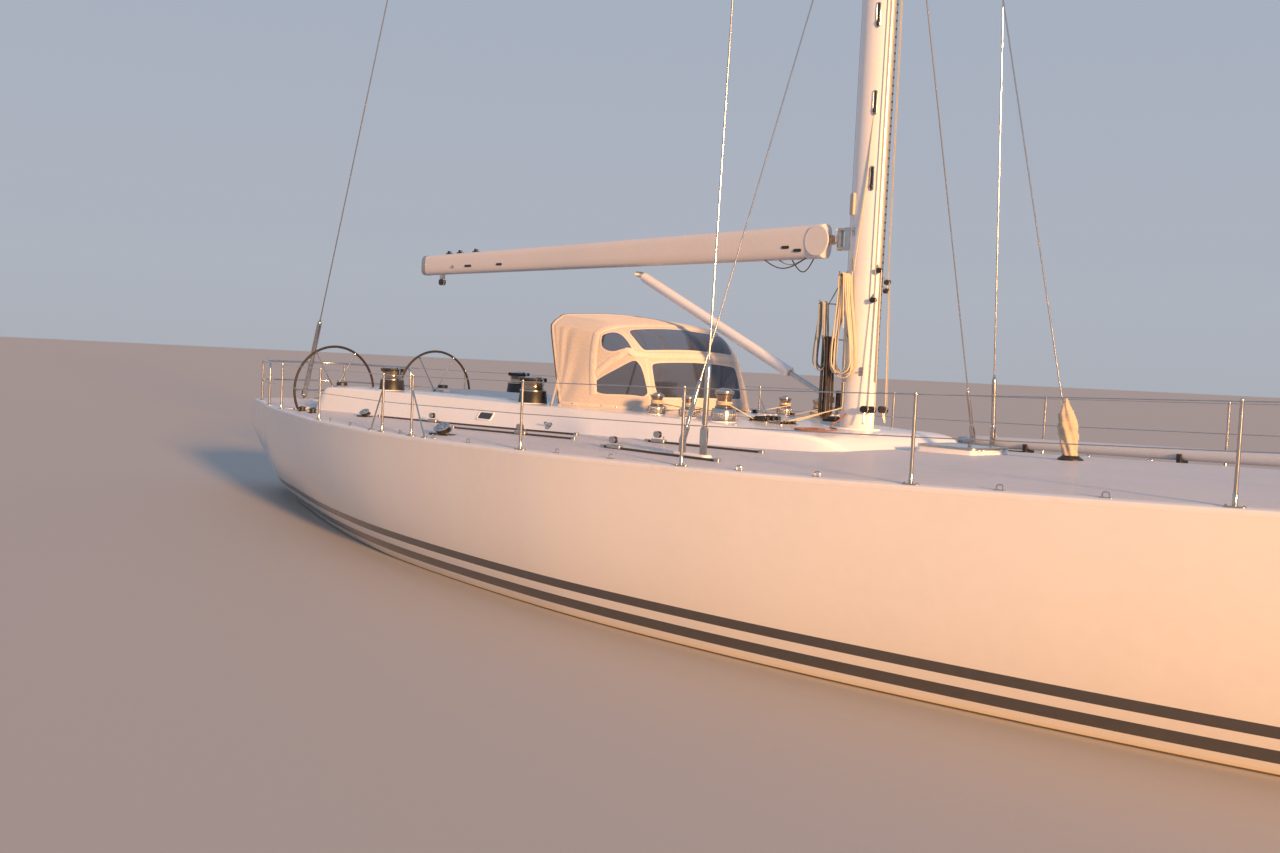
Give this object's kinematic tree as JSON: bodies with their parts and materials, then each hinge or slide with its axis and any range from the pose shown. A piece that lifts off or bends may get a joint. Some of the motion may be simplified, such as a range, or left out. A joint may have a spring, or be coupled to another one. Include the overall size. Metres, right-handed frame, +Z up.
{
  "type": "sailing yacht",
  "caption": "Sleek racing yacht with a deep fin keel, spade rudder, tall mast and stays, boom with a vang, low coachroof, deep cockpit and a canvas spray hood.",
  "frame": {"origin": "on the centreline at the waterline, just forward of the middle of the mast", "axes": "+X to the bow, +Y to port, +Z up"},
  "size_m": [23.9636, 5.76, 34.9703],
  "materials": {
    "topsides": "gloss gelcoat",
    "deck": "non-slip paint",
    "moulding": "white paint",
    "foil": "antifouling paint",
    "lead": "antifouling paint",
    "spar": "white paint",
    "steel": "polished stainless steel",
    "alloy": "anodised",
    "bronze": "bare bronze",
    "canvas": "acrylic canvas",
    "acrylic": "smoked acrylic",
    "wood": "varnished"
  },
  "bodies": {
    "yacht": {"hull": "topsides", "deck": "deck", "cockpit_tub": "moulding", "coachroof": "moulding", "keel_fin": "foil", "keel_ballast": "lead", "shaft_strut": "bronze", "mast": "spar", "mast_collar": "moulding", "masthead_crane": "spar", "spreaders_lower": "spar", "spreaders_middle": "spar", "spreaders_upper": "spar", "chainplate_starboard": "steel", "chainplate_port": "steel", "cap_shroud_starboard": "steel", "cap_shroud_port": "steel", "lower_shroud_starboard": "steel", "lower_shroud_port": "steel", "guardrail_starboard": "steel", "guardrail_port": "steel", "winch_primary_starboard": "steel", "winch_primary_port": "steel", "winch_secondary_starboard": "steel", "winch_secondary_port": "steel", "winch_halyard_starboard": "steel", "winch_halyard_port": "steel", "winch_control_starboard": "steel", "winch_control_port": "steel", "winch_spinnaker_starboard": "steel", "winch_spinnaker_port": "steel", "forestay": "steel", "backstay": "steel", "babystay": "steel", "stem_fitting": "steel", "backstay_plate": "steel", "babystay_pad": "steel", "pulpit": "steel", "pushpit": "steel", "gooseneck_bracket": "steel", "vang_bracket": "steel", "spray_hood": "canvas", "washboard": "wood", "fore_hatch_frame": "alloy", "aft_hatch_frame": "alloy", "steering_pedestal_starboard": "moulding", "steering_pedestal_port": "moulding", "mainsheet_traveller": "alloy"},
    "toggle": {"gooseneck_toggle": "steel"},
    "boom": {"boom": "spar", "boom_end_fitting": "spar"},
    "vang_barrel": {"vang_barrel": "spar"},
    "vang_rod": {"vang_rod": "steel"},
    "rudder": {"rudder": "foil"},
    "wheel_starboard": {"steering_wheel_starboard": "steel"},
    "wheel_port": {"steering_wheel_port": "steel"},
    "propeller": {"propeller": "bronze"},
    "companionway_slide": {"companionway_slide": "moulding"},
    "fore_hatch": {"fore_hatch_lid": "acrylic"},
    "aft_hatch": {"aft_hatch_lid": "moulding"}
  },
  "joints": [
    {"name": "boom_swing", "type": "hinge", "parent": "yacht", "child": "toggle", "pos_m": [-0.4, 0, 3.62], "axis": [0, 0, 1], "range_deg": [-80, 80]},
    {"name": "boom_lift", "type": "hinge", "parent": "toggle", "child": "boom", "pos_m": [-0.47, 0, 3.62], "axis": [0, 1, 0], "range_deg": [0, 8]},
    {"name": "vang_tilt", "type": "hinge", "parent": "boom", "child": "vang_barrel", "pos_m": [-3.28, 0, 3.33], "axis": [0, 1, 0], "range_deg": [-2, 0]},
    {"name": "vang_slide", "type": "slide", "parent": "vang_barrel", "child": "vang_rod", "axis": [0.9138, 0, -0.4061], "range_m": [0, 0.19]},
    {"name": "rudder_turn", "type": "hinge", "parent": "yacht", "child": "rudder", "pos_m": [-9.75, 0, 0], "axis": [0, 0, 1], "range_deg": [-35, 35]},
    {"name": "wheel_turn_starboard", "type": "hinge", "parent": "yacht", "child": "wheel_starboard", "pos_m": [-8.68, -0.845, 1.717], "axis": [1, 0, 0], "range_deg": [-420, 420]},
    {"name": "wheel_turn_port", "type": "hinge", "parent": "yacht", "child": "wheel_port", "pos_m": [-8.68, 0.845, 1.717], "axis": [1, 0, 0], "range_deg": [-420, 420]},
    {"name": "propeller_spin", "type": "hinge", "parent": "yacht", "child": "propeller", "pos_m": [-4.5, 0, -0.895], "axis": [0.9848, 0, 0.1736], "continuous": true},
    {"name": "companionway_slide", "type": "slide", "parent": "yacht", "child": "companionway_slide", "axis": [1, 0, 0], "range_m": [0, 0.42]},
    {"name": "fore_hatch_lid", "type": "hinge", "parent": "yacht", "child": "fore_hatch", "pos_m": [1.42, 0, 1.7014], "axis": [0, 1, 0], "range_deg": [0, 95]},
    {"name": "aft_hatch_lid", "type": "hinge", "parent": "yacht", "child": "aft_hatch", "pos_m": [-9.89, 0, 1.5145], "axis": [0, 1, 0], "range_deg": [0, 85]}
  ],
  "couplings": [
    {"joint": "vang_tilt", "follows": "boom_lift", "ratio": -0.235},
    {"joint": "vang_slide", "follows": "boom_lift", "m_per_rad": 1.355},
    {"joint": "wheel_turn_starboard", "follows": "rudder_turn", "ratio": -12},
    {"joint": "wheel_turn_port", "follows": "rudder_turn", "ratio": -12}
  ]
}
